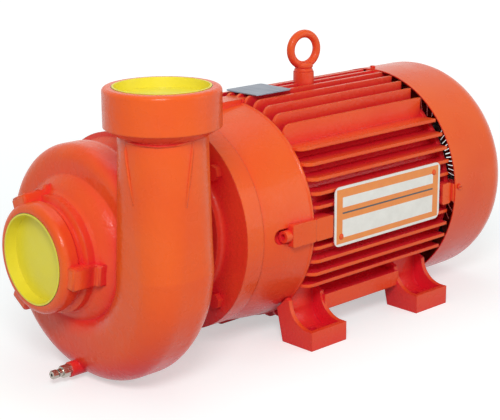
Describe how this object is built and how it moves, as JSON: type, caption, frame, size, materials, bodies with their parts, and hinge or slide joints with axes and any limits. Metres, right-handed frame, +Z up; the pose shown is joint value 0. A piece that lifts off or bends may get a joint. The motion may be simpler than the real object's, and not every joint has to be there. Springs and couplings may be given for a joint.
{
  "type": "industrial centrifugal pump",
  "caption": "Close-coupled end-suction centrifugal pump: volute casing with threaded ports on a finned, foot-mounted electric motor.",
  "frame": {"origin": "centre of the four foot bolt holes, on the plane that the feet stand on", "axes": "+X along the shaft from the suction port to the fan, -Y the side with the side plate, +Z up"},
  "size_m": [0.7343, 0.4397, 0.3872],
  "materials": {
    "orange_enamel": "glossy orange enamel on cast iron and sheet steel",
    "yellow_plastic": "moulded polyethylene, slightly waxy",
    "nickel_plate": "nickel plated brass",
    "grey_metal": "bare aluminium plate",
    "plate_orange": "printed plate, light orange with a white border",
    "bronze": "machined bronze",
    "cast_iron": "as cast",
    "zinc_steel": "zinc plated",
    "steel": "ground steel",
    "ceramic": "lapped ceramic",
    "rubber": "moulded nitrile",
    "core_steel": "stacked laminations",
    "cast_aluminium": "die cast",
    "copper": "varnished copper wire",
    "brass": "turned brass",
    "fan_plastic": "glass filled polypropylene",
    "block_plastic": "phenolic moulding"
  },
  "bodies": {
    "pump": {"volute_casing": "orange_enamel", "casing_wear_ring": "bronze", "drain_cock_body": "nickel_plate", "seal_fixed_seat": "ceramic", "adapter_bracket": "orange_enamel", "casing_bolts": "orange_enamel", "adapter_bolts": "orange_enamel", "motor_frame": "orange_enamel", "drive_end_shield": "orange_enamel", "front_shield_bolts": "orange_enamel", "rear_shield": "orange_enamel", "rear_shield_bolts": "orange_enamel", "fan_cover": "orange_enamel", "fan_cover_screws": "orange_enamel", "stator_core": "core_steel", "stator_windings": "copper", "front_bearing_outer_ring": "steel", "rear_bearing_outer_ring": "steel", "bearing_snap_ring": "steel", "eye_bolt": "orange_enamel", "top_plate": "grey_metal", "side_plate": "plate_orange", "plate_rivets": "orange_enamel", "terminal_box": "orange_enamel", "terminal_box_gasket": "rubber", "terminal_box_cover": "orange_enamel", "terminal_box_screws": "zinc_steel", "terminal_box_hold_screws": "zinc_steel", "terminal_block": "block_plastic", "terminal_studs": "brass"},
    "rotor": {"impeller": "cast_iron", "impeller_washer": "zinc_steel", "impeller_bolt": "zinc_steel", "impeller_key": "steel", "seal_bellows": "rubber", "seal_rotating_head": "steel", "shaft_slinger": "rubber", "motor_shaft": "steel", "rotor_core": "core_steel", "rotor_cage": "cast_aluminium", "front_bearing_inner_ring": "steel", "rear_bearing_inner_ring": "steel", "cooling_fan": "fan_plastic", "fan_retaining_clip": "steel"},
    "front_ball_set": {"front_bearing_balls": "steel", "front_bearing_cage": "brass"},
    "rear_ball_set": {"rear_bearing_balls": "steel", "rear_bearing_cage": "brass"},
    "suction_cap": {"suction_port_cap": "yellow_plastic"},
    "discharge_cap": {"discharge_port_cap": "yellow_plastic"},
    "drain_stem": {"drain_cock_stem": "nickel_plate"}
  },
  "joints": [
    {"name": "shaft_spin", "type": "hinge", "parent": "pump", "child": "rotor", "pos_m": [0, 0, 0.15875], "axis": [1, 0, 0], "continuous": true},
    {"name": "front_ball_orbit", "type": "hinge", "parent": "pump", "child": "front_ball_set", "pos_m": [-0.1585, 0, 0.15875], "axis": [1, 0, 0], "continuous": true},
    {"name": "rear_ball_orbit", "type": "hinge", "parent": "pump", "child": "rear_ball_set", "pos_m": [0.161, 0, 0.15875], "axis": [1, 0, 0], "continuous": true},
    {"name": "suction_cap_pull", "type": "slide", "parent": "pump", "child": "suction_cap", "axis": [-1, 0, 0], "range_m": [0, 0.06]},
    {"name": "discharge_cap_pull", "type": "slide", "parent": "pump", "child": "discharge_cap", "axis": [0, 0, 1], "range_m": [0, 0.06]},
    {"name": "drain_stem_turn", "type": "hinge", "parent": "pump", "child": "drain_stem", "pos_m": [-0.42, -0.02, 0.0155], "axis": [1, 0, 0], "range_deg": [0, 540]}
  ],
  "couplings": [
    {"joint": "front_ball_orbit", "follows": "shaft_spin", "ratio": 0.38},
    {"joint": "rear_ball_orbit", "follows": "shaft_spin", "ratio": 0.4}
  ]
}
